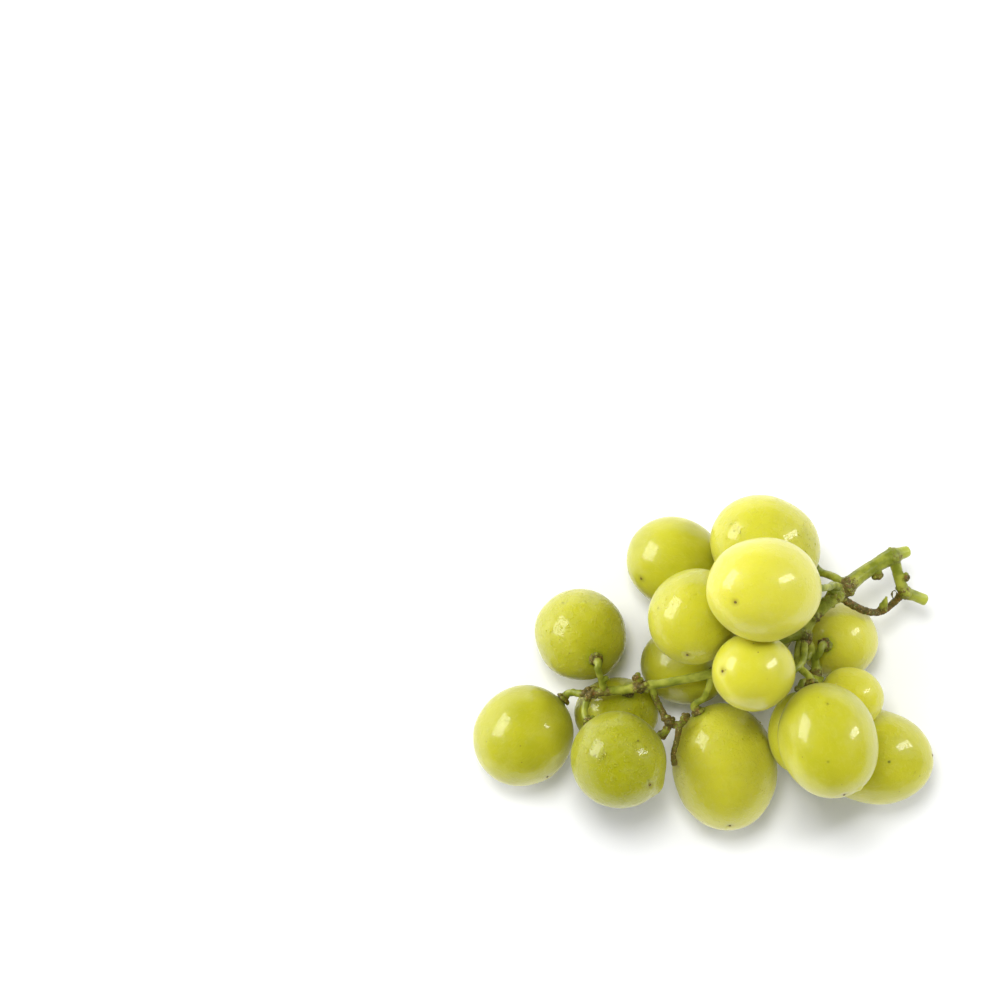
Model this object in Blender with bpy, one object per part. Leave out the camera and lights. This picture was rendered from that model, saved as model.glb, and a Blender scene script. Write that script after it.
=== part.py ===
"""A small bunch of green grapes, lying on its side as picked.

Seventeen berries hang on one branched stem. The berries settle from the table up: each one is lowered over
its place until it meets the table or a berry that already lies there. The stem then runs between them, and
its pedicels are aimed at the berries where they came to rest. The tables are in millimetres, the model is
in metres, and the origin is under the middle of the bunch, on the table.
"""

import math
from collections import namedtuple

import bmesh
import bpy
from mathutils import Matrix, Vector
from mathutils.bvhtree import BVHTree

MM = 0.001

# Clear air kept between two berries, and between a berry and the pedicel that carries it.
BERRY_GAP = 0.4
PEDICEL_GAP = 0.4
# How far a berry's underside is pressed flat on the table.
PRESSED = 0.25

BERRY_SIDES = 18
BERRY_RINGS = 12

# The ways out from a berry's skin at which its pedicel's end is shaped, and the widths there.
PEDICEL_END = [(2.6, 1.4), (1.3, 1.9), (PEDICEL_GAP, 3.0)]

# A berry: x and y of its middle, its length and width, and where its stem end points, as an azimuth from +X
# and an elevation above the table, in degrees.
Berry = namedtuple("Berry", "name x y length width azimuth elevation")

# From the berries on the table to the topmost.
BERRIES = [
    Berry("berry_01", -45.5, -18.0, 25.4, 24.0, 44, 5),
    Berry("berry_02", -31.5, 7.0, 23.6, 22.2, -58, 57),
    Berry("berry_03", -22.5, -12.5, 21.0, 17.4, 5, 15),
    Berry("berry_04", -5.3, -0.6, 23.0, 19.2, -5, 25),
    Berry("berry_05", -8.0, 24.8, 24.4, 22.0, -25, 0),
    Berry("berry_06", 4.1, -25.6, 31.4, 25.6, 98, 5),
    Berry("berry_07", 40.8, -23.0, 29.8, 23.4, 170, 0),
    Berry("berry_08", 32.5, 5.5, 20.4, 19.0, 190, 66),
    Berry("berry_09", 13.0, 9.5, 18.4, 17.6, -70, 70),
    Berry("berry_10", 21.5, -16.5, 20.0, 14.2, 85, 12),
    Berry("berry_11", 13.5, 29.0, 27.6, 24.4, -25, -15),
    Berry("berry_12", 34.6, -7.8, 15.6, 14.2, 155, 0),
    Berry("berry_13", -22.5, -23.0, 24.0, 22.8, 128, -25),
    Berry("berry_14", -4.0, 12.0, 24.0, 22.4, 50, -40),
    Berry("berry_15", 27.5, -17.5, 28.4, 23.6, 105, -22),
    Berry("berry_16", 9.6, -1.0, 20.8, 18.8, 0, -38),
    Berry("berry_17", 11.5, 19.0, 29.0, 24.8, 0, -38),
]

# Each branch: points along it, as x, y, z and the width there.
BRANCHES = {
    "main_stem": [
        (49.0, 27.7, 15.0, 2.2),
        (47.2, 27.1, 15.8, 2.5),
        (45.2, 26.5, 16.5, 3.6),
        (40.7, 24.1, 18.0, 2.8),
        (36.8, 21.7, 19.5, 3.0),
        (33.3, 18.9, 21.0, 3.6),
        (30.7, 17.1, 22.0, 3.4),
        (28.4, 14.9, 22.6, 2.8),
        (26.0, 12.5, 23.0, 2.5),
        (24.4, 10.6, 23.0, 2.4),
        (23.3, 8.4, 23.0, 2.7),
        (23.0, 6.6, 22.6, 2.6),
    ],
    "side_branch": [
        (45.3, 26.2, 16.5, 2.4),
        (46.3, 23.1, 16.0, 2.0),
        (47.3, 19.9, 15.0, 2.1),
        (48.4, 17.6, 14.0, 2.6),
        (51.0, 16.6, 13.0, 2.1),
        (53.6, 15.6, 12.0, 2.4),
    ],
    "thin_twig": [
        (48.2, 17.7, 14.0, 1.5),
        (46.4, 15.6, 13.0, 1.1),
        (44.4, 13.7, 13.0, 1.0),
        (41.7, 12.6, 14.5, 1.1),
        (38.8, 12.9, 16.5, 1.2),
        (35.9, 14.1, 18.0, 1.3),
        (33.2, 15.7, 19.6, 1.4),
        (31.6, 17.0, 21.0, 1.6),
    ],
    "left_branch": [
        (23.2, 7.8, 23.0, 2.2),
        (19.4, 6.8, 24.0, 2.0),
        (12.5, 3.5, 24.6, 1.9),
        (5.9, 0.0, 24.2, 1.9),
        (0.3, -2.1, 23.4, 2.0),
        (-5.0, -3.3, 22.6, 1.8),
        (-8.6, -4.0, 22.2, 1.7),
        (-12.3, -4.7, 21.7, 1.8),
        (-16.9, -5.3, 21.0, 2.2),
        (-20.8, -6.2, 20.5, 1.8),
        (-24.9, -6.5, 20.0, 1.9),
        (-29.3, -7.1, 18.4, 1.8),
    ],
    "lower_branch": [
        (23.1, 6.8, 22.8, 2.2),
        (23.9, 5.6, 22.2, 1.8),
        (25.0, 3.4, 21.2, 1.6),
        (25.8, 1.1, 20.2, 1.6),
        (26.0, -1.2, 19.4, 1.9),
        (25.9, -2.6, 19.2, 2.2),
    ],
    "bare_twig": [
        (-14.2, -5.0, 21.4, 1.5),
        (-13.3, -8.2, 20.6, 1.2),
        (-11.7, -11.3, 20.0, 1.2),
        (-10.1, -14.0, 20.0, 1.6),
        (-7.2, -14.7, 20.4, 1.5),
        (-5.8, -12.4, 20.8, 1.4),
    ],
    "bare_fork": [
        (-7.4, -14.6, 20.4, 1.4),
        (-8.0, -18.2, 21.2, 1.0),
        (-9.0, -22.0, 21.6, 0.9),
        (-8.6, -24.6, 21.6, 1.1),
    ],
    "bare_stub": [
        (-9.8, -14.3, 20.0, 1.5),
        (-10.6, -16.2, 20.0, 1.4),
        (-11.8, -17.6, 19.8, 1.9),
    ],
}

# Swellings where branches part and where a berry has dropped off: x, y, z and width.
KNOTS = [
    (45.3, 26.4, 16.5, 3.9),
    (48.5, 17.5, 14.0, 2.9),
    (33.0, 18.7, 21.1, 4.2),
    (31.0, 17.3, 21.9, 4.0),
    (23.1, 7.3, 22.8, 3.5),
    (26.0, -2.4, 19.2, 2.8),
    (-16.9, -5.3, 21.0, 2.7),
    (-29.3, -7.1, 18.4, 2.4),
    (-9.9, -14.2, 20.0, 2.2),
]

# Each pedicel: the berry that it carries, then its points from the branch, as x, y, z and width. Its last
# stretch is worked out from where the berry lies.
PEDICELS = [
    ("berry_01", None, [(-29.3, -7.1, 18.4, 1.7), (-32.0, -7.3, 17.2, 1.4)]),
    ("berry_02", None, [(-25.9, -6.4, 19.9, 1.6), (-26.6, -3.4, 21.6, 1.3), (-27.5, -1.0, 23.4, 1.3)]),
    ("berry_13", None, [(-29.4, -7.2, 18.4, 1.7), (-30.3, -9.6, 19.2, 1.4)]),
    ("berry_03", (65, 50), [(-20.8, -6.2, 20.5, 1.5), (-20.6, -5.9, 18.8, 1.2)]),
    ("berry_04", (-15, 55), [(4.6, -0.5, 24.1, 1.5), (3.6, -1.6, 22.6, 1.2)]),
    ("berry_06", (116, 14), [(0.2, -2.3, 23.2, 1.4), (-0.4, -5.6, 21.6, 1.2), (-1.6, -8.6, 19.0, 1.2)]),
    ("berry_16", None, [(22.9, 6.4, 22.6, 1.6), (22.8, 3.4, 25.6, 1.3), (22.0, 0.9, 28.4, 1.3)]),
    ("berry_09", None, [(15.4, 5.0, 24.4, 1.5), (14.6, 5.4, 22.6, 1.2)]),
    ("berry_14", None, [(10.2, 2.3, 24.4, 1.6), (9.4, 8.0, 22.6, 1.3), (7.4, 13.4, 20.4, 1.3)]),
    ("berry_05", None, [(9.2, 9.0, 22.2, 1.4), (8.2, 16.0, 17.0, 1.2), (6.6, 19.6, 12.6, 1.2)]),
    ("berry_08", None, [(25.6, 1.6, 20.5, 1.4), (26.6, 2.4, 21.4, 1.3)]),
    ("berry_12", None, [(25.9, -2.2, 19.4, 1.5), (25.9, -3.4, 20.8, 1.2)]),
    ("berry_10", None, [(25.9, -2.4, 19.2, 1.5), (25.4, -4.0, 19.4, 1.2)]),
    ("berry_07", (140, 25), [(26.0, -2.4, 19.0, 1.4), (27.6, -6.8, 16.6, 1.1), (29.2, -11.0, 15.8, 1.1)]),
    ("berry_15", None, [(22.2, 6.6, 22.8, 1.7), (21.2, 2.6, 24.6, 1.4), (21.4, -0.4, 27.6, 1.4)]),
    ("berry_11", None, [(33.0, 19.2, 21.2, 1.8), (30.6, 21.3, 21.8, 1.5)]),
    ("berry_17", None, [(31.6, 18.8, 22.4, 1.8), (29.6, 19.6, 27.0, 1.4), (28.4, 19.2, 32.0, 1.3)]),
]

# Short stubs of dropped berries: foot and tip, as x, y, z and width.
STUBS = [
    ((-16.9, -5.3, 21.0, 1.7), (-18.2, -2.8, 22.2, 1.5)),
    ((-26.5, -4.0, 21.2, 1.4), (-25.2, -3.2, 21.9, 1.1)),
    ((40.9, 24.0, 18.0, 1.9), (41.5, 21.6, 17.4, 1.5)),
    ((46.8, 21.6, 15.6, 1.5), (48.6, 21.2, 16.2, 1.1)),
    ((31.4, 17.0, 22.4, 1.8), (29.2, 18.6, 24.4, 1.4)),
    ((24.9, 3.6, 21.3, 1.3), (23.6, 1.4, 22.4, 1.0)),
    ((42.3, 12.5, 14.2, 1.0), (42.7, 14.6, 15.0, 0.8)),
]

SKIN_COLOUR = (0.56, 0.60, 0.10, 1.0)
STEM_COLOUR = (0.30, 0.36, 0.09, 1.0)


def clear_scene():
    """Removes whatever the file opened with."""
    for obj in list(bpy.data.objects):
        bpy.data.objects.remove(obj, do_unlink=True)


def make_material(name, colour, roughness):
    """A plain Principled finish."""
    material = bpy.data.materials.new(name)
    material.use_nodes = True
    shader = material.node_tree.nodes["Principled BSDF"]
    shader.inputs["Base Color"].default_value = colour
    shader.inputs["Roughness"].default_value = roughness
    shader.inputs["Metallic"].default_value = 0.0
    return material


def direction(azimuth, elevation):
    """The unit vector at an azimuth from +X and an elevation above the table, in degrees."""
    around = math.radians(azimuth)
    above = math.radians(elevation)
    return Vector((math.cos(above) * math.cos(around), math.cos(above) * math.sin(around), math.sin(above)))


def berry_shape(berry, middle, more=0.0):
    """A bmesh of one berry in millimetres, its long axis towards its stem end, grown all round by more."""
    half_length = berry.length / 2 + more
    half_width = berry.width / 2 + more
    turn = direction(berry.azimuth, berry.elevation).to_track_quat("Z", "Y").to_matrix().to_4x4()
    shape = bmesh.new()
    bmesh.ops.create_uvsphere(shape, u_segments=BERRY_SIDES, v_segments=BERRY_RINGS, radius=1.0)
    bmesh.ops.scale(shape, vec=(half_width, half_width, half_length), verts=shape.verts)
    bmesh.ops.transform(shape, matrix=Matrix.Translation(middle) @ turn, verts=shape.verts)
    return shape


def fall_onto(falling, resting):
    """The straight drop, in millimetres, that brings one bmesh down onto another, or None if it misses."""
    drops = []
    resting_tree = BVHTree.FromBMesh(resting)
    falling_tree = BVHTree.FromBMesh(falling)
    for vertex in falling.verts:
        hit = resting_tree.ray_cast(vertex.co, Vector((0, 0, -1)))
        drops.append(hit[3])
    for vertex in resting.verts:
        hit = falling_tree.ray_cast(vertex.co, Vector((0, 0, 1)))
        drops.append(hit[3])
    drops = [drop for drop in drops if drop is not None]
    return min(drops, default=None)


def settle_berries():
    """Lowers the berries one by one and gives each one's middle, keyed by name, in millimetres."""
    high_up = 200.0
    middles = {}
    settled = []
    for berry in BERRIES:
        start = Vector((berry.x, berry.y, high_up))
        falling = berry_shape(berry, start, more=BERRY_GAP)
        to_table = min(vertex.co.z for vertex in falling.verts) + BERRY_GAP + PRESSED
        onto_berries = [fall_onto(falling, resting) for resting in settled]
        drop = min([to_table] + [fall for fall in onto_berries if fall is not None])
        falling.free()
        middles[berry.name] = start - Vector((0, 0, drop))
        settled.append(berry_shape(berry, middles[berry.name]))
    for shape in settled:
        shape.free()
    return middles


def add_object(name, mesh, material):
    """Links a smooth-shaded object of this mesh into the scene."""
    mesh.shade_smooth()
    mesh.set_sharp_from_angle(angle=math.radians(50))
    obj = bpy.data.objects.new(name, mesh)
    obj.data.materials.append(material)
    bpy.context.scene.collection.objects.link(obj)
    return obj


def add_berry(berry, middle, material):
    """One berry where it lies, with the little flat face that it rests on if it lies on the table."""
    shape = berry_shape(berry, middle)
    everything = shape.verts[:] + shape.edges[:] + shape.faces[:]
    cut = bmesh.ops.bisect_plane(
        shape, geom=everything, plane_co=(0, 0, 0), plane_no=(0, 0, -1), clear_outer=True
    )
    rim = [item for item in cut["geom_cut"] if isinstance(item, bmesh.types.BMEdge)]
    if rim:
        bmesh.ops.contextual_create(shape, geom=rim)
    bmesh.ops.scale(shape, vec=(MM, MM, MM), verts=shape.verts)
    bmesh.ops.recalc_face_normals(shape, faces=shape.faces)
    mesh = bpy.data.meshes.new(berry.name)
    shape.to_mesh(mesh)
    shape.free()
    return add_object(berry.name, mesh, material)


def foot_on_berry(berry, middle, aim):
    """Where a pedicel meets a berry, and the way out from its skin there.

    The aim is an azimuth and an elevation from the berry's middle, or None for its stem end.
    """
    half_length = berry.length / 2
    half_width = berry.width / 2
    axis = direction(berry.azimuth, berry.elevation)
    towards = axis if aim is None else direction(*aim)
    along = towards.dot(axis)
    across = towards - along * axis
    reach = 1 / math.sqrt((along / half_length) ** 2 + (across.length / half_width) ** 2)
    outwards = axis * (along / half_length**2) + across / half_width**2
    return middle + towards * reach, outwards.normalized()


def tube(name, points):
    """A helper mesh: a round tube through the points, as wide at each as its last number, closed at its ends."""
    curve = bpy.data.curves.new(name, "CURVE")
    curve.dimensions = "3D"
    curve.bevel_depth = MM / 2
    curve.bevel_resolution = 2
    curve.resolution_u = 2
    curve.use_fill_caps = True
    spline = curve.splines.new("BEZIER")
    spline.bezier_points.add(len(points) - 1)
    for knot, (x, y, z, width) in zip(spline.bezier_points, points):
        knot.co = Vector((x, y, z)) * MM
        knot.radius = width
        knot.handle_left_type = "AUTO"
        knot.handle_right_type = "AUTO"
    guide = bpy.data.objects.new(name, curve)
    bpy.context.scene.collection.objects.link(guide)
    graph = bpy.context.evaluated_depsgraph_get()
    mesh = bpy.data.meshes.new_from_object(guide.evaluated_get(graph))
    bpy.data.objects.remove(guide, do_unlink=True)
    shape = bmesh.new()
    shape.from_mesh(mesh)
    bmesh.ops.remove_doubles(shape, verts=shape.verts, dist=0.0000001)
    bmesh.ops.recalc_face_normals(shape, faces=shape.faces)
    shape.to_mesh(mesh)
    shape.free()
    return mesh


def knot_mesh(name, x, y, z, width):
    """A helper mesh: a small round swelling."""
    shape = bmesh.new()
    place = Matrix.Translation(Vector((x, y, z)) * MM)
    bmesh.ops.create_icosphere(shape, subdivisions=2, radius=width / 2 * MM, matrix=place)
    mesh = bpy.data.meshes.new(name)
    shape.to_mesh(mesh)
    shape.free()
    return mesh


def pedicel_points(berry_name, aim, start, middles):
    """The pedicel's points from the branch to the flared disc that faces its berry."""
    berry = next(berry for berry in BERRIES if berry.name == berry_name)
    skin, outwards = foot_on_berry(berry, middles[berry_name], aim)
    end = [(*(skin + outwards * out), width) for out, width in PEDICEL_END]
    return start + end


def add_stem(middles, material):
    """The whole stem as one solid: its first branch, with every other piece joined on by one Boolean."""
    pieces = bpy.data.collections.new("stem_pieces")
    pieces.hide_render = True
    bpy.context.scene.collection.children.link(pieces)
    meshes = [tube(name, points) for name, points in BRANCHES.items()]
    meshes += [tube("stub", points) for points in STUBS]
    meshes += [knot_mesh("knot", *knot) for knot in KNOTS]
    for berry_name, aim, start in PEDICELS:
        meshes.append(tube("pedicel", pedicel_points(berry_name, aim, start, middles)))
    stem = add_object("stem", meshes[0], material)
    for mesh in meshes[1:]:
        piece = bpy.data.objects.new("stem_" + mesh.name, mesh)
        piece.hide_render = True
        piece.display_type = "WIRE"
        pieces.objects.link(piece)
    join = stem.modifiers.new("join_pieces", "BOOLEAN")
    join.operation = "UNION"
    join.solver = "EXACT"
    join.operand_type = "COLLECTION"
    join.collection = pieces
    return stem


def centre_on_origin(objects):
    """Slides everything along the table, so that the origin is under the middle of the bunch."""
    bpy.context.view_layer.update()
    graph = bpy.context.evaluated_depsgraph_get()
    corners = []
    for obj in objects:
        shown = obj.evaluated_get(graph)
        corners += [shown.matrix_world @ Vector(corner) for corner in shown.bound_box]
    middle_x = (min(corner.x for corner in corners) + max(corner.x for corner in corners)) / 2
    middle_y = (min(corner.y for corner in corners) + max(corner.y for corner in corners)) / 2
    slide = Matrix.Translation((-middle_x, -middle_y, 0))
    for mesh in bpy.data.meshes:
        mesh.transform(slide)


def main():
    clear_scene()
    skin = make_material("grape_skin", SKIN_COLOUR, 0.25)
    green_wood = make_material("green_stem", STEM_COLOUR, 0.6)
    middles = settle_berries()
    berries = [add_berry(berry, middles[berry.name], skin) for berry in BERRIES]
    stem = add_stem(middles, green_wood)
    centre_on_origin(berries + [stem])


main()
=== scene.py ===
# %% [markdown]
# # A bunch of green grapes, lying on a white table
#
# This lesson dresses a finished model. The bunch already exists as plain solids: seventeen berries and
# one branched stem, each at its real size and place. What is missing is everything the eye enjoys: the
# tight waxy skin that lets light sink in and glow out again, the brown scars and specks, the beads of
# dew, the warty little discs where a berry hangs on, and the green wood of the stem. We take each plain
# solid as the measure of its piece, model a finer piece over it, and give it a finish made of shader
# nodes.

# %% Load the plain solids
import math

import bmesh
import bpy
import numpy as np
from mathutils import Matrix, Vector, noise
from mathutils.bvhtree import BVHTree


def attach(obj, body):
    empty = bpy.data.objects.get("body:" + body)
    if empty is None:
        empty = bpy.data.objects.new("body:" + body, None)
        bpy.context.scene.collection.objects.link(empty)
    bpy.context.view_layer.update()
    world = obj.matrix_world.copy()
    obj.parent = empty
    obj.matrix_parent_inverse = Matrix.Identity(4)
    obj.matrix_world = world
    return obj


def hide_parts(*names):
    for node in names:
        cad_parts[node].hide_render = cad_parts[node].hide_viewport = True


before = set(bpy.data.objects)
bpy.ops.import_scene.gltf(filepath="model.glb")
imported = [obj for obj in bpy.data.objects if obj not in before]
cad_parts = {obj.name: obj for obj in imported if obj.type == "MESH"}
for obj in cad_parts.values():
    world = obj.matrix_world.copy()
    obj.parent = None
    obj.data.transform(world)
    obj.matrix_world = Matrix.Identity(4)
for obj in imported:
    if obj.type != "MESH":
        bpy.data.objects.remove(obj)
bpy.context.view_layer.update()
MM = 0.001
scene = bpy.context.scene
berry_names = sorted(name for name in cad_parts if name.startswith("berry"))
print("solids:", len(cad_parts), "of them berries:", len(berry_names))

# %% [markdown]
# ## Camera
#
# The bunch is looked at from straight above, from about a metre away. It doesn't lie under the lens but
# towards the lower right of the picture, so the camera stands up and to the left of it and looks straight
# down. A long lens keeps the perspective gentle, as it is in a product picture.

# %% Camera
CAMERA_AT = (-0.0502, 0.0401, 1.0)
SEEN_ACROSS = 0.25
SENSOR = 36.0

lens = bpy.data.cameras.new("overhead_camera")
lens.sensor_width = SENSOR
lens.lens = SENSOR * CAMERA_AT[2] / SEEN_ACROSS
lens.clip_start = 0.01
camera = bpy.data.objects.new("overhead_camera", lens)
camera.location = CAMERA_AT
scene.collection.objects.link(camera)
scene.camera = camera
print("lens:", round(lens.lens), "mm")

# %% [markdown]
# ## Table and light
#
# The table is plain white. Two softboxes stand low on the left and on the right, a little behind the
# bunch. Each leaves its window in every berry: a broad pale one up on the left and a small bright one on
# the right. Two more lights only fill. One stands low in front and keeps the near sides fresh, and one
# hangs overhead and draws the soft shadow under each berry. They would leave windows of their own, and
# there should be only two in each berry, so they are kept out of the shine. All four could be lamps, but
# a softbox is a rectangle of even light, which is what an area light is. The world adds the even white of
# the room, and the table throws light back up, which is what makes the rims of the berries pale.

# %% Table
TABLE_WHITE = (0.93, 0.93, 0.94, 1.0)
TABLE_HALF = 3.0
TABLE_DROP = 0.00005

table_finish = bpy.data.materials.new("white_table")
table_finish.use_nodes = True
table_shader = table_finish.node_tree.nodes["Principled BSDF"]
table_shader.inputs["Base Color"].default_value = TABLE_WHITE
table_shader.inputs["Roughness"].default_value = 0.7
table_shader.inputs["Specular IOR Level"].default_value = 0.2

table_shape = bmesh.new()
bmesh.ops.create_grid(table_shape, x_segments=1, y_segments=1, size=TABLE_HALF)
bmesh.ops.translate(table_shape, vec=(0, 0, -TABLE_DROP), verts=table_shape.verts)
table_mesh = bpy.data.meshes.new("table")
table_shape.to_mesh(table_mesh)
table_shape.free()
table = bpy.data.objects.new("table", table_mesh)
table.data.materials.append(table_finish)
scene.collection.objects.link(table)
print("table:", 2 * TABLE_HALF, "m across")

# %% Softboxes and the room's light
ROOM_WHITE = (0.93, 0.96, 1.0, 1.0)
ROOM_STRENGTH = 0.37


def softbox(name, place, width, height, watts, in_shine=True):
    """A rectangle of light at this place, turned to face the bunch."""
    light = bpy.data.lights.new(name, "AREA")
    light.shape = "RECTANGLE"
    light.size = width
    light.size_y = height
    light.energy = watts
    box = bpy.data.objects.new(name, light)
    box.location = place
    box.rotation_euler = Vector(place).to_track_quat("Z", "Y").to_euler()
    box.visible_camera = False
    box.visible_glossy = in_shine
    scene.collection.objects.link(box)


softbox("left_softbox", (-0.85, 0.42, 0.42), 0.70, 0.50, 8.5)
softbox("right_softbox", (0.85, 0.42, 0.50), 0.20, 0.55, 4.5)
softbox("front_fill", (0.10, -0.95, 0.38), 1.0, 0.45, 3.0, in_shine=False)
softbox("overhead_glow", (-0.16, 0.40, 1.25), 0.38, 0.38, 10.0, in_shine=False)

room = bpy.data.worlds.new("white_room")
scene.world = room
room.use_nodes = True
room_light = room.node_tree.nodes["Background"]
room_light.inputs["Color"].default_value = ROOM_WHITE
room_light.inputs["Strength"].default_value = ROOM_STRENGTH
room.cycles_visibility.glossy = False
scene.view_settings.view_transform = "Standard"

# %% [markdown]
# ## Shader sums as plain expressions
#
# A finish is a graph of small nodes, and most of them only add, multiply or compare. Wiring them by hand
# hides the idea, so one small class wraps a socket and lets Python's own operators add the Math nodes.
# Every other kind of node comes from one method, `node`, which takes the node's settings first and then
# what goes into it.

# %% A value on a surface
class Value:
    """A number, colour or vector that varies over a surface. Sums with it add Math nodes."""

    def __init__(self, finish, socket):
        self.finish = finish
        self.socket = socket

    def math(self, operation, *others):
        """A Math node with this value in its first socket and the others in the next ones."""
        sockets = dict(enumerate((self, *others)))
        return self.finish.node("ShaderNodeMath", {"operation": operation}, sockets)

    def __add__(self, other):
        return self.math("ADD", other)

    def __sub__(self, other):
        return self.math("SUBTRACT", other)

    def __mul__(self, other):
        return self.math("MULTIPLY", other)

    def __rsub__(self, other):
        return (self * -1.0) + other

    __radd__ = __add__
    __rmul__ = __mul__

    def between(self, low, high):
        """0 below low, 1 above high, and smooth in between. With low above high it falls instead."""
        settings = {"interpolation_type": "SMOOTHSTEP"}
        sockets = {"Value": self, "From Min": min(low, high), "From Max": max(low, high)}
        rising = self.finish.node("ShaderNodeMapRange", settings, sockets)
        return rising if low < high else 1.0 - rising


sums = [name for name in dir(Value) if name.endswith(("add__", "sub__", "mul__"))]
print("sums that add a Math node:", sums)

# %% A finish that holds its nodes
# The Mix node has sockets for numbers, vectors and colours. These are the ones for colours.
FIRST_COLOUR = 6
SECOND_COLOUR = 7
MIXED_COLOUR = 2


class Finish:
    """A material whose nodes are added from expressions."""

    def __init__(self, name):
        self.material = bpy.data.materials.new(name)
        self.material.use_nodes = True
        self.tree = self.material.node_tree
        self.shader = self.tree.nodes["Principled BSDF"]

    def node(self, kind, settings=None, sockets=None, out=0):
        """Adds a node, sets it up, fills or links its sockets, and gives one of its outputs."""
        made = self.tree.nodes.new(kind)
        for key, value in (settings or {}).items():
            setattr(made, key, value)
        for key, value in (sockets or {}).items():
            self.fill(made.inputs[key], value)
        return Value(self, made.outputs[out])

    def fill(self, socket, value):
        """Links a value to the socket, or sets a plain number or colour on it."""
        if isinstance(value, Value):
            self.tree.links.new(value.socket, socket)
        else:
            socket.default_value = value

    def attribute(self, name):
        """One of the piece's own stored values."""
        return self.node("ShaderNodeAttribute", {"attribute_name": name}, out="Fac")

    def object_place(self):
        """Where each point of the surface is, on the object's own axes."""
        return self.node("ShaderNodeTexCoord", out="Object")

    def bump(self, strength, depth, height):
        """The surface's normal, tilted as if it stood up to this depth in metres where height is 1."""
        sockets = {"Strength": strength, "Distance": depth, "Height": height}
        return self.node("ShaderNodeBump", {}, sockets)

    def mix(self, share, first, second):
        """The first colour where share is 0 and the second where it is 1."""
        sockets = {"Factor": share, FIRST_COLOUR: first, SECOND_COLOUR: second}
        return self.node("ShaderNodeMix", {"data_type": "RGBA"}, sockets, out=MIXED_COLOUR)

    def noise(self, place, scale, detail=2.0, roughness=0.5, distortion=0.0):
        """Cloudy noise between 0 and 1, with scale in lumps for each unit of place."""
        sockets = {"Vector": place, "Scale": scale, "Detail": detail, "Roughness": roughness}
        sockets["Distortion"] = distortion
        return self.node("ShaderNodeTexNoise", {}, sockets)

    def set(self, **values):
        """Sets the shader's own sockets: Base_Color=... stands for the socket Base Color."""
        for key, value in values.items():
            self.fill(self.shader.inputs[key.replace("_", " ")], value)


print("finish helpers:", [name for name in vars(Finish) if not name.startswith("_")])

# %% [markdown]
# ## Reading a berry from its plain solid
#
# Each plain berry is an exact ellipsoid, pressed a little flat where it lies on the table. Its middle,
# its half length and width and the way it points could be copied by hand, but they are already there in
# its vertices: nine numbers describe any ellipsoid, and a least-squares fit through the vertices finds
# them. The vertices near the table are left out, because the flat rim there isn't part of the ellipsoid.
# The disc of the stem that faces the berry tells us which of its two ends is the stem end.

# %% Fit an ellipsoid to each plain berry
PRESSED_RIM = 0.4
DISC_REACH = 0.62


def points_of(name):
    """A plain solid's vertices, in millimetres."""
    return np.array([vertex.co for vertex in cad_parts[name].data.vertices]) / MM


def fit_ellipsoid(points):
    """Middle, quadratic form, and the half axes with their directions, longest first."""
    points = points[points[:, 2] > PRESSED_RIM]
    start = points.mean(axis=0)
    x, y, z = (points - start).T
    squares = [x * x, y * y, z * z]
    products = [2 * y * z, 2 * x * z, 2 * x * y]
    terms = np.column_stack([*squares, *products, 2 * x, 2 * y, 2 * z])
    q = np.linalg.lstsq(terms, np.ones(len(points)), rcond=None)[0]
    form = np.array([[q[0], q[5], q[4]], [q[5], q[1], q[3]], [q[4], q[3], q[2]]])
    shift = -np.linalg.solve(form, q[6:9])
    form = form / (1 + shift @ form @ shift)
    sizes, directions = np.linalg.eigh(form)
    return start + shift, form, 1 / np.sqrt(sizes), directions


class Berry:
    """What a plain berry says about the finished one, in millimetres."""

    def __init__(self, name, stem_points):
        self.name = name
        self.middle, self.form, half_axes, directions = fit_ellipsoid(points_of(name))
        self.half_length = half_axes[0]
        self.half_width = half_axes[1:].mean()
        away = stem_points - self.middle
        disc = away[self.gap_to(stem_points) < DISC_REACH].mean(axis=0)
        self.stem_place = disc / math.sqrt(disc @ self.form @ disc)
        self.stem_outwards = self.outwards(self.stem_place)
        axis = directions[:, 0]
        self.axis = axis * np.sign(axis @ disc)

    def gap_to(self, points):
        """About how far each point lies outside the plain ellipsoid."""
        away = points - self.middle
        times_out = np.sqrt(np.einsum("ij,jk,ik->i", away, self.form, away))
        return np.linalg.norm(away, axis=1) * (1 - 1 / times_out)

    def outwards(self, place):
        """The way straight out of the ellipsoid at a place on it, or at each of several."""
        straight = place @ self.form
        return straight / np.linalg.norm(straight, axis=-1, keepdims=True)

    def seen_from_above(self, x, y):
        """The upper skin this far from the middle in plan, or the outline if that is nearer."""
        form = self.form
        a = form[2, 2]
        b = form[0, 2] * x + form[1, 2] * y
        c = form[0, 0] * x * x + 2 * form[0, 1] * x * y + form[1, 1] * y * y - 1
        inside = b * b - a * c
        place = np.array([x, y, (-b + math.sqrt(max(inside, 0.0))) / a])
        return place / math.sqrt(place @ form @ place)


stem_points = points_of("stem")
berries = [Berry(name, stem_points) for name in berry_names]
for berry in berries:
    print(berry.name, "length", round(2 * berry.half_length, 1), "width", round(2 * berry.half_width, 1))

# %% [markdown]
# ## What sets each berry apart
#
# Grapes of one bunch ripen unevenly. Those in the sun are pale and yellow, those underneath stay green.
# Some are still wet from the cold store, with beads of dew in patches, and each one carries its own few
# marks: the dry scar where the flower fell off, corky dots, and a nub where it was pressed. A random
# number per berry would give variety, but this bunch has its own, so the tone, the wetness and the marks
# are stated here for each berry. A place on a berry is given in plan, in millimetres from its middle, as
# someone looking down on the bunch would point to it.

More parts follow.
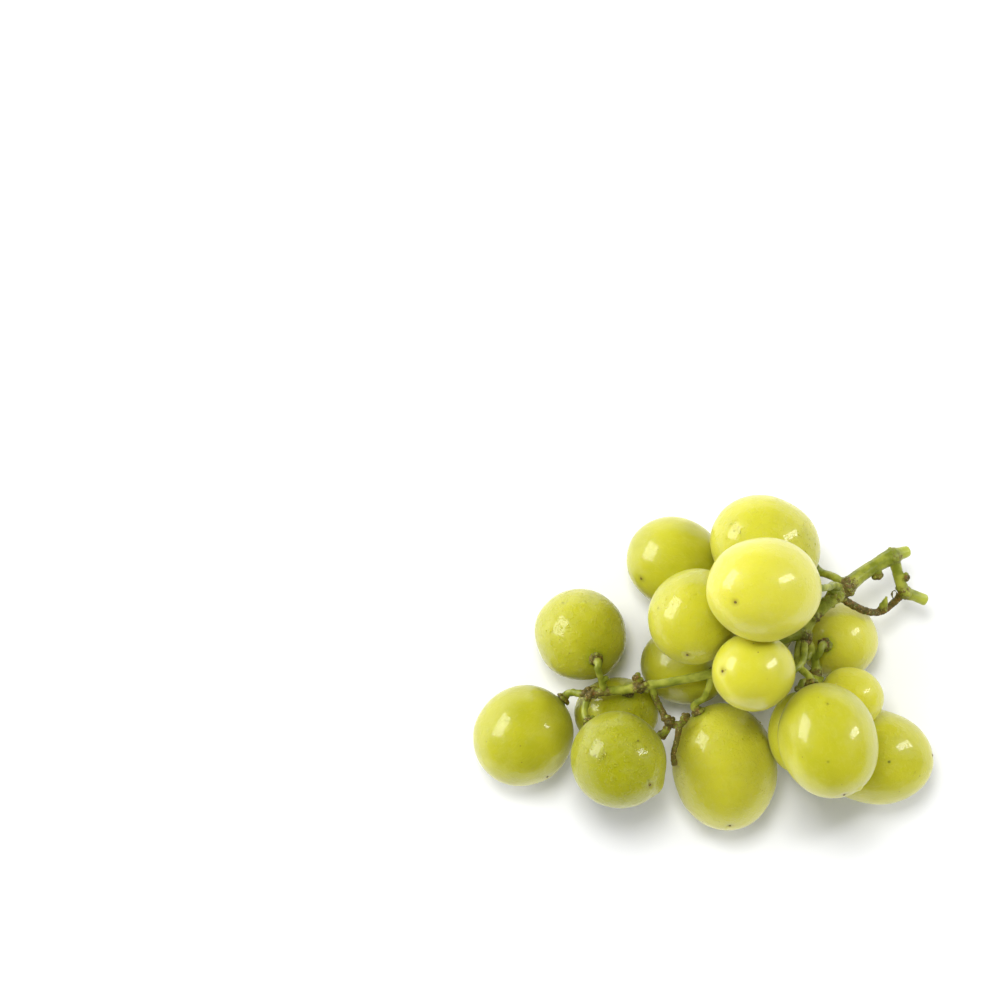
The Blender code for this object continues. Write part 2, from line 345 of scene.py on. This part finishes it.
# %% Tone, wetness and marks of each berry
# How ripe each berry is, from green to pale yellow, and how wet.
TONES = {
    "berry_01": (0.42, 0.2),
    "berry_02": (0.46, 0.8),
    "berry_03": (0.22, 0.7),
    "berry_04": (0.40, 0.2),
    "berry_05": (0.46, 0.1),
    "berry_06": (0.74, 0.6),
    "berry_07": (0.64, 0.2),
    "berry_08": (0.82, 0.2),
    "berry_09": (0.50, 0.2),
    "berry_10": (0.45, 0.2),
    "berry_11": (0.72, 0.5),
    "berry_12": (0.80, 0.3),
    "berry_13": (0.0, 1.0),
    "berry_14": (0.60, 0.3),
    "berry_15": (0.52, 0.1),
    "berry_16": (0.74, 0.0),
    "berry_17": (0.90, 0.2),
}

# Where the flower scar can be seen. The others have it at their far end.
SCARS = {
    "berry_01": (5.9, -9.9),
    "berry_05": (-8.7, -3.9),
    "berry_06": (1.0, -14.2),
    "berry_07": (14.6, 0.3),
    "berry_13": (7.4, -5.6),
    "berry_14": (-2.3, -9.1),
    "berry_16": (-7.9, 0.4),
    "berry_17": (-7.5, -2.8),
}

# Where it is turned away from above: the way it faces.
HIDDEN_SCARS = {
    "berry_11": (-0.8, 0.2, -0.6),
    "berry_12": (0.5, 0.2, -0.8),
}

# Corky dots: place and radius.
DOTS = {
    "berry_02": [(-4.4, 8.0, 0.26), (2.7, 9.4, 0.20)],
    "berry_05": [(-0.3, -0.7, 0.13), (-0.7, -1.6, 0.13), (0.1, 0.3, 0.12)],
    "berry_07": [(2.9, -0.7, 0.30), (9.5, -3.4, 0.18), (4.6, 5.0, 0.14)],
    "berry_13": [(4.4, 5.2, 0.24), (7.0, -4.4, 0.20)],
    "berry_14": [(-9.2, 2.2, 0.26)],
    "berry_15": [(-0.8, 9.2, 0.24), (-1.0, -4.4, 0.26), (4.4, 2.6, 0.14), (-5.6, 1.8, 0.14)],
}

# Nubs pressed up from the skin: place, radius and height.
NUBS = {
    "berry_01": [(4.2, 8.2, 4.5, 0.35)],
    "berry_13": [(10.0, -7.0, 4.2, 0.75)],
    "berry_15": [(7.1, -11.2, 1.6, 0.4)],
}

# Dew: middle of the patch, how far it spreads, and how many beads.
DEW = {
    "berry_02": [(-5.0, 1.0, 4.5, 16)],
    "berry_03": [(5.0, 1.0, 3.0, 16)],
    "berry_06": [(6.4, 9.0, 3.4, 26), (-3.0, 13.0, 2.0, 6)],
    "berry_11": [(9.0, 2.0, 3.5, 24), (-8.0, 3.0, 3.0, 12)],
    "berry_13": [(-5.2, 2.2, 2.4, 16), (3.0, 2.0, 3.5, 10)],
    "berry_14": [(-6.0, 4.0, 2.5, 8)],
}
print("berries with marks:", sorted(set(SCARS) | set(DOTS) | set(NUBS)))
print("berries with dew:", sorted(DEW))

# %% [markdown]
# ## The berries' shape
#
# A grape is nearly an ellipsoid, but the eye knows at once when it is exactly one. The real one is a
# little blunter than an ellipse, slightly lobed, and never quite even, which breaks up the windows of
# light in its skin. It rises to meet the disc that it hangs from, it has a small dent round its flower
# scar, and it lies flat where it touches the table. A UV sphere has its poles just where the two ends
# are, so its rings crowd there by themselves. We start from one and move its vertices by these rules, as
# far as the neighbours leave room. The scar and the dots are dry little scabs and the dew is beads of
# water, so each of them is a low dome of its own on the skin, with its own finish. All lengths here are
# in millimetres.

# %% Small tools for a skin, and the plain stem beside it
NEAR = 1.2
MERGE = 0.0005

plain_stem = bmesh.new()
plain_stem.from_mesh(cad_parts["stem"].data)
bmesh.ops.scale(plain_stem, vec=(1 / MM, 1 / MM, 1 / MM), verts=plain_stem.verts)
bmesh.ops.remove_doubles(plain_stem, verts=plain_stem.verts, dist=MERGE)
stem_tree = BVHTree.FromBMesh(plain_stem)


def hump(distance, radius):
    """1 at no distance, falling smoothly to 0 at the radius."""
    near = np.clip(1.0 - distance / radius, 0.0, 1.0)
    return near * near * (3 - 2 * near)


def noise_at(points, size, seed=0.0):
    """Smooth noise at each point, from -1 to 1, in lumps of this size."""
    return np.array([noise.noise(Vector(point) / size + Vector((seed, 0, 0))) for point in points])


def distances(points, place):
    """How far each point is from one place."""
    return np.linalg.norm(points - place, axis=1)


def stem_room(points):
    """How far each point is from the plain stem, up to NEAR."""
    found = (stem_tree.find_nearest(Vector(point), NEAR)[3] for point in points)
    return np.array([NEAR if distance is None else distance for distance in found])


def store(mesh, name, values):
    """Keeps one number for each vertex on the mesh, for the finish to read."""
    attribute = mesh.attributes.new(name, "FLOAT", "POINT")
    attribute.data.foreach_set("value", np.array(values, np.float32))


print("plain stem:", len(plain_stem.faces), "faces")

# %% How far a berry's skin stands out
FULLER = 0.10
LUMP_SIZE = 8.0
LUMP_HEIGHT = 0.20
NEXT_LUMPS = 7.3
LOBES = 5
LOBE_HEIGHT = 0.06
COLLAR_RADIUS = 2.4
COLLAR_HEIGHT = 0.35
DENT_RADIUS = 1.8
DENT_DEPTH = 0.25
STEM_CLEARANCE = 0.25


def skin_height(berry, unit, places, number):
    """How far the skin stands out from the plain ellipsoid at each place."""
    around = np.arctan2(unit[:, 1], unit[:, 0])
    lobes = np.cos(LOBES * around + number) * (1 - unit[:, 2] ** 2)
    lumps = noise_at(places, LUMP_SIZE, NEXT_LUMPS * number)
    height = FULLER + LUMP_HEIGHT * lumps + LOBE_HEIGHT * lobes
    for x, y, radius, nub in NUBS.get(berry.name, []):
        height += nub * hump(distances(places, berry.seen_from_above(x, y)), radius)
    points = places + berry.middle
    for other in berries:
        if other is not berry:
            height = np.minimum(height, other.gap_to(points) / 2)
    height = np.minimum(height, stem_room(points) - STEM_CLEARANCE)
    height = np.maximum(height, -STEM_CLEARANCE)
    height += COLLAR_HEIGHT * hump(distances(places, berry.stem_place), COLLAR_RADIUS)
    return height - DENT_DEPTH * hump(distances(places, scar_place(berry)), DENT_RADIUS)


def scar_place(berry):
    """Where the flower fell off."""
    if berry.name in SCARS:
        return berry.seen_from_above(*SCARS[berry.name])
    facing = np.array(HIDDEN_SCARS.get(berry.name, -berry.axis))
    return facing / math.sqrt(facing @ berry.form @ facing)


print("skin stands out by about", FULLER, "mm, give or take", LUMP_HEIGHT)

# %% Scabs and dew on the skin
SCAR_RADIUS = 0.34
SCAB_FLATNESS = 0.35
SCAB_ROUGHNESS = 0.4
BEAD_RADIUS = (0.11, 0.34)
BEAD_FLATNESS = 0.55
BEAD_ROUGHNESS = 0.25
MOSTLY_SMALL = 3
DOME_GRAIN = 0.6

# The finishes of a berry's mesh, in the order of its material slots. The skin comes first.
SCAB_SLOT = 1
BEAD_SLOT = 2


def size_between(sizes, share):
    """The size this share of the way from the smallest to the largest."""
    return sizes[0] + (sizes[1] - sizes[0]) * share


def add_dome(shape, berry, place, radius, sunk, flatness, rough, slot):
    """A small flattened ball, half in the skin, uneven by this share of its radius."""
    outwards = Vector(berry.outwards(place))
    middle = Vector(berry.middle + place) + outwards * (FULLER - sunk)
    stand = Matrix.Translation(middle) @ outwards.to_track_quat("Z", "Y").to_matrix().to_4x4()
    squash = Matrix.Diagonal((1.0, 1.0, flatness, 1.0))
    made = bmesh.ops.create_icosphere(shape, subdivisions=2, radius=radius, matrix=stand @ squash)
    for vertex in made["verts"]:
        vertex.co += (vertex.co - middle) * rough * noise.noise(vertex.co / (DOME_GRAIN * radius))
        for face in vertex.link_faces:
            face.material_index = slot


def add_scab(shape, berry, place, radius):
    """A dry flat dome on the skin."""
    add_dome(shape, berry, place, radius, DENT_DEPTH / 2, SCAB_FLATNESS, SCAB_ROUGHNESS, SCAB_SLOT)


def add_dew(shape, berry, x, y, spread, count):
    """Beads of water, most of them tiny, scattered round a place."""
    for _ in range(count):
        angle = 2 * math.pi * noise.random()
        reach = spread * math.sqrt(noise.random())
        place = berry.seen_from_above(x + reach * math.cos(angle), y + reach * math.sin(angle))
        radius = size_between(BEAD_RADIUS, noise.random() ** MOSTLY_SMALL)
        add_dome(shape, berry, place, radius, 0.0, BEAD_FLATNESS, BEAD_ROUGHNESS, BEAD_SLOT)


print("beads of dew:", sum(patch[3] for patches in DEW.values() for patch in patches))

# %% Build the berries
SEGMENTS = 120
RINGS = 84


def build_berry(berry, number):
    """The berry as a mesh object, with what its finish needs to know stored on it."""
    turn = np.array(Vector(berry.axis).to_track_quat("Z", "Y").to_matrix())
    shape = bmesh.new()
    bmesh.ops.create_uvsphere(shape, u_segments=SEGMENTS, v_segments=RINGS, radius=1.0)
    unit = np.array([vertex.co for vertex in shape.verts])
    places = unit * (berry.half_width, berry.half_width, berry.half_length) @ turn.T
    height = skin_height(berry, unit, places, number)
    points = berry.middle + places + berry.outwards(places) * height[:, None]
    points[:, 2] = np.maximum(points[:, 2], 0.0)
    for vertex, point in zip(shape.verts, points):
        vertex.co = point
    scar = scar_place(berry)
    add_scab(shape, berry, scar, SCAR_RADIUS)
    for x, y, radius in DOTS.get(berry.name, []):
        add_scab(shape, berry, berry.seen_from_above(x, y), radius)
    for patch in DEW.get(berry.name, []):
        add_dew(shape, berry, *patch)
    bmesh.ops.scale(shape, vec=(MM, MM, MM), verts=shape.verts)
    mesh = bpy.data.meshes.new(berry.name + "_skin")
    shape.to_mesh(mesh)
    shape.free()
    places = np.array([vertex.co for vertex in mesh.vertices]) / MM - berry.middle
    turned = places @ turn / berry.half_width
    store(mesh, "along", places @ berry.axis / berry.half_length)
    store(mesh, "side_x", turned[:, 0])
    store(mesh, "side_y", turned[:, 1])
    store(mesh, "from_disc", distances(places, berry.stem_place))
    store(mesh, "from_scar", distances(places, scar))
    tone, wetness = TONES[berry.name]
    store(mesh, "tone", [tone] * len(places))
    store(mesh, "wet", [wetness] * len(places))
    mesh.shade_smooth()
    skin = bpy.data.objects.new(berry.name + "_skin", mesh)
    scene.collection.objects.link(skin)
    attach(skin, "root")
    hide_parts(berry.name)
    return skin


noise.seed_set(5)
skins = [build_berry(berry, number) for number, berry in enumerate(berries)]
print("berries:", len(skins), "faces each:", len(skins[0].data.polygons))

# %% [markdown]
# ## The skin's finish
#
# What we see of a grape is mostly light that has been inside it. It enters the thin skin, wanders through
# wet flesh for some millimetres and leaves again yellow-green, so the finish is subsurface scattering
# with a long path for red and green and a short one for blue. Over it lies a clear wax coat that gives
# the sharp windows of light. The colour moves from green to yellow with the berry's tone, pale veins run
# from end to end under the skin, tiny corky points are scattered over it, and a breath of bloom dulls it
# in places. On wet berries the film of water breaks the shine into patches. A picture of a skin could be
# wrapped round each berry, but noise made of nodes has no seam and stays sharp from any distance. The
# scabs and the beads of dew get a dry brown finish and a smooth wet one.

# %% Skin finish
# A scale counts the lumps of noise in a metre. Veins are counted in half widths and lengths of a berry.
GREEN_SKIN = (0.33, 0.335, 0.006, 1)
RIPE_SKIN = (0.585, 0.56, 0.034, 1)
PALE_FLESH = (0.72, 0.68, 0.17, 1)
BLOOM = (0.72, 0.72, 0.42, 1)
CORK = (0.20, 0.14, 0.02, 1)
NECK = (0.30, 0.38, 0.01, 1)
CLOUD_SCALE = 110.0
BLOOM_SCALE = 260.0
PORE_SCALE = 330.0
PORE_PATCH_SCALE = 190.0
SKIN_GRAIN_SCALE = 1900.0
DEW_SCALE = 620.0
VEIN_SCALE = 1.6
VEINS_ROUND = 5.0
VEINS_ALONG = 1.3
NEXT_VEINS = 9.0


def skin_finish():
    """Translucent, waxy grape skin."""
    finish = Finish("grape_skin")
    place = finish.object_place()
    along = finish.attribute("along")
    tone = finish.attribute("tone")
    wet = finish.attribute("wet")

    # Green turns to yellow in clouds, and the end at the stem is a little greener.
    clouds = finish.noise(place, CLOUD_SCALE, detail=3.0) - 0.5
    ripe = tone * 0.85 + clouds * 0.5 - along * 0.06
    colour = finish.mix(ripe.between(-0.05, 1.0), GREEN_SKIN, RIPE_SKIN)

    # Noise is squeezed across the berry and drawn out along it, and its middle value runs in lines: veins.
    across = {"X": finish.attribute("side_x") * VEINS_ROUND, "Y": finish.attribute("side_y") * VEINS_ROUND}
    across["Z"] = along * VEINS_ALONG + tone * NEXT_VEINS
    strands = finish.node("ShaderNodeCombineXYZ", {}, across)
    from_middle = (finish.noise(strands, VEIN_SCALE, distortion=0.3) - 0.5).math("ABSOLUTE")
    vein = from_middle.between(0.035, 0.0)
    colour = finish.mix(vein * 0.07 + tone.between(0.6, 1.0) * 0.20, colour, PALE_FLESH)

    film = finish.noise(place, BLOOM_SCALE, detail=5.0, roughness=0.65).between(0.45, 0.8)
    colour = finish.mix(film * 0.08, colour, BLOOM)

    # Greener round the disc, and a faint brown halo round the flower scar.
    neck = finish.attribute("from_disc").between(3.6, 0.8)
    colour = finish.mix(neck * 0.55, colour, NECK)
    halo = finish.attribute("from_scar").between(1.5, 0.3)
    colour = finish.mix(halo * 0.30, colour, CORK)

    # Corky pores sit in the middle of cells, and only where a second noise lets them.
    cells = finish.node("ShaderNodeTexVoronoi", {}, {"Vector": place, "Scale": PORE_SCALE})
    chosen = finish.noise(place, PORE_PATCH_SCALE, detail=0.0).between(0.50, 0.62)
    pore = cells.between(0.085, 0.035) * chosen
    colour = finish.mix(pore * 0.75, colour, CORK)

    grain = finish.noise(place, SKIN_GRAIN_SCALE, detail=3.0)
    dew = finish.noise(place, DEW_SCALE, detail=3.0, roughness=0.6).between(0.50, 0.62) * wet
    height = grain * (0.12 + wet * 0.75) + dew * 1.5 - pore * 0.3
    finish.set(Base_Color=colour, Normal=finish.bump(0.6, 0.00025, height))
    finish.set(Roughness=0.40 + film * 0.14 + dew * 0.08)
    finish.set(Subsurface_Weight=1.0, Subsurface_Scale=0.008, Subsurface_Radius=(1.0, 0.85, 0.14))
    finish.set(IOR=1.46, Coat_Weight=0.55, Coat_Roughness=0.07, Coat_IOR=1.45)
    finish.set(Sheen_Weight=0.06, Sheen_Roughness=0.45)
    return finish.material


grape_skin = skin_finish()
print("skin nodes:", len(grape_skin.node_tree.nodes))

# %% Scab and dew finishes
DARK_SCAB = (0.07, 0.042, 0.008, 1)
LIGHT_SCAB = (0.20, 0.13, 0.03, 1)
SCAB_SCALE = 3500.0
DARK_BEAD = (0.42, 0.43, 0.012, 1)
LIGHT_BEAD = (0.58, 0.56, 0.05, 1)
BEAD_SCALE = 400.0


def scab_finish():
    """Dry brown cork."""
    finish = Finish("dry_scab")
    grain = finish.noise(finish.object_place(), SCAB_SCALE, detail=3.0)
    colour = finish.mix(grain.between(0.3, 0.7), DARK_SCAB, LIGHT_SCAB)
    finish.set(Base_Color=colour, Normal=finish.bump(0.6, 0.0001, grain), Roughness=0.65 + grain * 0.2)
    return finish.material


def dew_finish():
    """Water on the skin: very smooth, and the colour of what lies under it."""
    finish = Finish("dew_bead")
    shade = finish.noise(finish.object_place(), BEAD_SCALE, detail=1.0)
    finish.set(Base_Color=finish.mix(shade, DARK_BEAD, LIGHT_BEAD))
    finish.set(Roughness=0.03, IOR=1.5, Coat_Weight=1.0, Coat_Roughness=0.02)
    finish.set(Subsurface_Weight=0.8, Subsurface_Scale=0.001, Subsurface_Radius=(1.0, 1.0, 0.6))
    return finish.material


berry_finishes = [grape_skin, scab_finish(), dew_finish()]
for skin in skins:
    for material in berry_finishes:
        skin.data.materials.append(material)
print("finishes on each berry:", [material.name for material in berry_finishes])

# %% [markdown]
# ## The stem's shape
#
# The stem is grown wood: ridged, swollen and cracked where it branches, and set with corky warts round
# every disc that carries a berry. Modelling each wart into the surface by hand would take days. Instead
# the plain stem gets small solid pieces pushed into it, a wart here, a curl of tendril there, and one
# voxel remesh turns them all into a single skin, as if it had grown that way. Smoothing and a little
# noise along the normals do the rest.

# %% Warts
WARTS_PER_DISC = 13
WART_RADIUS = (0.26, 0.50)
WART_SUNK = 0.25
CLUSTER_SPREAD = 0.6
RING_RADIUS = 1.1
RING_WIDTH = 0.45
RING_HEIGHT = 0.45
RING_DEPTH = 0.5

# Brown knots where twigs part or a berry has dropped off: place, reach of the brown and number of warts.
KNOTS = [
    ((34.3, 18.6, 21.2), 3.4, 16),
    ((31.6, 17.2, 22.0), 2.6, 12),
    ((24.4, 6.6, 23.0), 2.6, 12),
    ((29.8, 15.2, 22.4), 2.0, 3),
    ((27.2, 11.5, 23.0), 2.2, 5),
    ((27.2, -2.6, 19.2), 2.4, 8),
    ((-15.7, -5.4, 21.2), 2.4, 16),
    ((-17.0, -3.2, 22.2), 1.2, 5),
    ((-28.4, -7.4, 18.6), 3.0, 18),
    ((-8.7, -14.4, 20.0), 2.8, 12),
    ((-10.6, -17.8, 19.8), 2.2, 10),
    ((-4.6, -12.6, 20.8), 2.0, 8),
    ((42.6, 21.2, 17.4), 1.7, 6),
    ((49.8, 21.0, 16.2), 1.1, 4),
    ((46.6, 26.2, 16.6), 2.3, 4),
    ((49.0, 17.6, 14.0), 2.2, 3),
]


def add_wart(shape, middle, radius):
    """One wart, a small ball."""
    bmesh.ops.create_icosphere(shape, subdivisions=2, radius=radius, matrix=Matrix.Translation(middle))


def add_cluster(shape, middle, reach, count):
    """Warts spread over the surface near a knot."""
    for _ in range(count):
        direction = noise.random_unit_vector()
        found, normal, *_ = stem_tree.find_nearest(Vector(middle) + direction * reach * CLUSTER_SPREAD)
        radius = size_between(WART_RADIUS, noise.random())
        add_wart(shape, found + normal * radius * WART_SUNK, radius)


def add_disc_warts(shape, berry):
    """A ring of corky warts round the disc that carries the berry."""
    stand = Vector(berry.stem_outwards).to_track_quat("Z", "Y").to_matrix()
    middle = Vector(berry.middle + berry.stem_place)
    for index in range(WARTS_PER_DISC):
        angle = 2 * math.pi * (index + 0.5 * noise.random()) / WARTS_PER_DISC
        ring = RING_RADIUS + RING_WIDTH * noise.random()
        radius = size_between(WART_RADIUS, noise.random())
        height = RING_HEIGHT + RING_DEPTH * noise.random()
        local = Vector((ring * math.cos(angle), ring * math.sin(angle), height))
        add_wart(shape, middle + stand @ local, radius)


noise.seed_set(11)
grown = plain_stem.copy()
plain_stem.free()
for berry in berries:
    add_disc_warts(grown, berry)
for middle, reach, count in KNOTS:
    add_cluster(grown, middle, reach, count)
print("warts:", WARTS_PER_DISC * len(berries) + sum(count for _, _, count in KNOTS))

# %% Tendril and bract
TENDRIL = [(47.4, 15.2, 13.2), (46.7, 15.9, 14.2), (46.3, 16.9, 15.0), (46.7, 17.8, 15.5),
           (47.3, 17.5, 15.9), (47.2, 16.8, 16.2)]
TENDRIL_RADIUS = 0.22
BRACT_BASE = (43.9, 12.7, 14.4)
BRACT_TIP = (44.9, 16.2, 15.8)
BRACT_RADIUS = 1.15
BRACT_POINT = 0.12
BRACT_FLATNESS = 0.45


def add_tendril(shape):
    """A thin dry curl standing up from the twig."""
    curve = bpy.data.curves.new("tendril", "CURVE")
    curve.dimensions = "3D"
    curve.bevel_depth = TENDRIL_RADIUS
    curve.use_fill_caps = True
    spline = curve.splines.new("BEZIER")
    spline.bezier_points.add(len(TENDRIL) - 1)
    for point, place in zip(spline.bezier_points, TENDRIL):
        point.co = place
        point.handle_left_type = "AUTO"
        point.handle_right_type = "AUTO"
    obj = bpy.data.objects.new("tendril", curve)
    scene.collection.objects.link(obj)
    mesh = bpy.data.meshes.new_from_object(obj.evaluated_get(bpy.context.evaluated_depsgraph_get()))
    shape.from_mesh(mesh)
    bpy.data.objects.remove(obj)
    bpy.data.curves.remove(curve)
    bpy.data.meshes.remove(mesh)


def add_bract(shape):
    """The pointed scale of a leaf that never grew."""
    base = Vector(BRACT_BASE)
    along = Vector(BRACT_TIP) - base
    stand = Matrix.Translation(base + along / 2) @ along.to_track_quat("Z", "Y").to_matrix().to_4x4()
    flat = Matrix.Diagonal((1.0, BRACT_FLATNESS, 1.0, 1.0))
    bmesh.ops.create_cone(
        shape, cap_ends=True, segments=16, radius1=BRACT_RADIUS, radius2=BRACT_POINT, depth=along.length,
        matrix=stand @ flat,
    )


add_tendril(grown)
add_bract(grown)
bmesh.ops.scale(grown, vec=(MM, MM, MM), verts=grown.verts)
print("stem before the remesh:", len(grown.faces), "faces")

# %% Join the pieces into one skin
VOXEL = 0.19


def remeshed(shape, name):
    """The shape with every piece in it joined into one even skin."""
    mesh = bpy.data.meshes.new(name)
    shape.to_mesh(mesh)
    shape.free()
    obj = bpy.data.objects.new(name, mesh)
    scene.collection.objects.link(obj)
    remesh = obj.modifiers.new("one_skin", "REMESH")
    remesh.mode = "VOXEL"
    remesh.voxel_size = VOXEL * MM
    joined = bpy.data.meshes.new_from_object(obj.evaluated_get(bpy.context.evaluated_depsgraph_get()))
    obj.modifiers.clear()
    obj.data = joined
    bpy.data.meshes.remove(mesh)
    joined.name = name
    return obj


stem = remeshed(grown, "grown_stem")
print("stem after the remesh:", len(stem.data.polygons), "faces")

# %% Where the wood is brown
DISC_BROWN = 1.5
DISC_BROWN_REACH = 3.2
KNOT_SPREAD = 1.5
TWIG_BROWN_REACH = 3.6
TENDRIL_BROWN = 1.3
TENDRIL_BROWN_REACH = 1.0
STEPS = (0.0, 0.2, 0.4, 0.6, 0.8)

# Twigs that have dried, each with its route and with how brown it is.
DRY_TWIGS = [
    ([(49.0, 17.3, 14.0), (47.6, 15.4, 13.0), (45.6, 13.5, 13.0), (42.9, 12.4, 14.5), (40.0, 12.7, 16.5),
      (37.1, 13.9, 18.0), (34.4, 15.5, 19.6)], 0.85),
    ([(-12.1, -8.4, 20.6), (-10.5, -11.5, 20.0), (-8.9, -14.2, 20.0), (-6.0, -14.9, 20.4),
      (-4.6, -12.6, 20.8), (-6.8, -18.4, 21.2), (-7.8, -22.2, 21.6), (-7.4, -24.8, 21.6)], 0.74),
    ([(-28.1, -7.3, 18.4), (-23.0, -6.7, 20.2)], 0.78),
]


def nearest_of(points, places):
    """How far each point is from the nearest of these places."""
    return np.min([distances(points, np.array(place)) for place in places], axis=0)


def along_twig(places):
    """The places with more of them filled in between."""
    places = np.array(places)
    return [place + (after - place) * share for place, after in zip(places, places[1:]) for share in STEPS]


def brown_share(points):
    """How brown each point is: 1 on a knot, on a disc or on the dry twig, and 0 on green wood."""
    share = TENDRIL_BROWN * hump(nearest_of(points, TENDRIL), TENDRIL_BROWN_REACH)
    for middle, reach, _ in KNOTS:
        share = np.maximum(share, hump(distances(points, middle), reach * KNOT_SPREAD))
    for berry in berries:
        from_disc = distances(points, berry.middle + berry.stem_place)
        share = np.maximum(share, DISC_BROWN * hump(from_disc, DISC_BROWN_REACH))
    for places, brown in DRY_TWIGS:
        share = np.maximum(share, brown * hump(nearest_of(points, along_twig(places)), TWIG_BROWN_REACH))
    return share


print("brown knots:", len(KNOTS), "dry twigs:", len(DRY_TWIGS))

# %% Grow the bark
SMOOTHINGS = 2
RIDGE_SIZE = 0.9
RIDGE_HEIGHT = 0.10
GRAIN_SIZE = 0.35
GRAIN_HEIGHT = 0.045
OTHER_NOISE = 3.1
THICKER = 0.26
FORK_THICKER = 0.16
FORK_MIDDLE = (44.0, 20.0, 16.0)
FORK_REACH = 20.0
TENDRIL_FREE = 1.6
BERRY_CLEARANCE = 0.35
CUT_ENDS = [(50.2, 27.5, 15.0), (54.8, 15.4, 12.0)]


def growth(points):
    """How much thicker the bark makes the plain stem at each point, as far as the berries leave room."""
    wanted = THICKER + FORK_THICKER * hump(distances(points, FORK_MIDDLE), FORK_REACH)
    room = np.min([berry.gap_to(points) for berry in berries], axis=0) - BERRY_CLEARANCE
    wanted = wanted * (1 - hump(nearest_of(points, along_twig(TENDRIL[1:])), TENDRIL_FREE))
    return np.clip(room, 0.0, wanted)


def grow_bark(stem):
    """Smooths the joined stem, thickens and roughens it, and stores what its finish needs to know."""
    mesh = stem.data
    shape = bmesh.new()
    shape.from_mesh(mesh)
    every_way = {"use_axis_x": True, "use_axis_y": True, "use_axis_z": True}
    for _ in range(SMOOTHINGS):
        bmesh.ops.smooth_vert(shape, verts=shape.verts, factor=0.5, **every_way)
    shape.normal_update()
    points = np.array([vertex.co for vertex in shape.verts]) / MM
    normals = np.array([vertex.normal for vertex in shape.verts])
    brown = brown_share(points)
    ridges = noise_at(points, RIDGE_SIZE) * RIDGE_HEIGHT * (0.6 + brown)
    grain = noise_at(points, GRAIN_SIZE, OTHER_NOISE) * GRAIN_HEIGHT * (0.4 + 1.6 * brown)
    points += normals * (ridges + grain + growth(points))[:, None]
    for vertex, point in zip(shape.verts, points * MM):
        vertex.co = point
    shape.to_mesh(mesh)
    shape.free()
    store(mesh, "brown", brown)
    store(mesh, "from_cut", nearest_of(points, CUT_ENDS))
    mesh.shade_smooth()


grow_bark(stem)
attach(stem, "root")
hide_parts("stem")
print("stem faces:", len(stem.data.polygons))

# %% [markdown]
# ## The stem's finish
#
# Fresh stem is green wood with a dull satin skin, paler at the fresh cuts, and it turns brown and corky
# where it was hurt or where a twig has dried. Two materials side by side would meet at a hard edge. The
# mesh already says how brown it is at each vertex, so one finish holds both woods, and noise only has to
# break the edge between them and add streaks, pores and flecks.

# %% Stem finish
GREEN_WOOD = (0.17, 0.20, 0.011, 1)
LIGHT_WOOD = (0.35, 0.37, 0.045, 1)
CUT_WOOD = (0.45, 0.49, 0.06, 1)
BROWN_WOOD = (0.13, 0.085, 0.012, 1)
DARK_CORK = (0.028, 0.017, 0.003, 1)
RED_FLECK = (0.30, 0.09, 0.02, 1)
PALE_FLECK = (0.5, 0.4, 0.16, 1)
BROAD_SCALE = 300.0
FINE_SCALE = 1500.0
RED_SCALE = 900.0
PALE_SCALE = 2300.0
STEM_PORE_SCALE = 900.0


def stem_finish():
    """Green wood that turns to brown cork where the mesh says so."""
    finish = Finish("green_stem")
    place = finish.object_place()
    brown = finish.attribute("brown")
    broad = finish.noise(place, BROAD_SCALE, detail=3.0)
    fine = finish.noise(place, FINE_SCALE, detail=4.0, roughness=0.6)

    colour = finish.mix(broad.between(0.35, 0.65), GREEN_WOOD, LIGHT_WOOD)
    near_cut = finish.attribute("from_cut").between(4.5, 0.8)
    colour = finish.mix(near_cut * 0.9, colour, CUT_WOOD)

    red = finish.noise(place, RED_SCALE, detail=1.0).between(0.58, 0.70)
    pale = finish.noise(place, PALE_SCALE, detail=1.0).between(0.62, 0.74)
    bark = finish.mix(fine.between(0.38, 0.62), DARK_CORK, BROWN_WOOD)
    bark = finish.mix(red * 0.35, bark, RED_FLECK)
    bark = finish.mix(pale * 0.8, bark, PALE_FLECK)
    woody = (brown + (fine - 0.5) * 1.3 + (broad - 0.5) * 0.8).between(0.35, 0.75)
    colour = finish.mix(woody * 0.92, colour, bark)

    cells = finish.node("ShaderNodeTexVoronoi", {}, {"Vector": place, "Scale": STEM_PORE_SCALE})
    pore = cells.between(0.16, 0.06)
    colour = finish.mix(pore * 0.4, colour, BROWN_WOOD)
    height = fine * (0.3 + brown * 0.9) - pore * 0.3
    finish.set(Base_Color=colour, Normal=finish.bump(0.8, 0.0003, height))
    finish.set(Roughness=0.38 + woody * 0.25 + (fine - 0.5) * 0.2)
    finish.set(Subsurface_Weight=0.15, Subsurface_Scale=0.001, Subsurface_Radius=(1.0, 0.9, 0.2))
    return finish.material


green_stem = stem_finish()
stem.data.materials.clear()
stem.data.materials.append(green_stem)
print("stem nodes:", len(green_stem.node_tree.nodes))

# %% [markdown]
# ## Sizes
#
# The finished bunch has to take the room that its plain solids do.
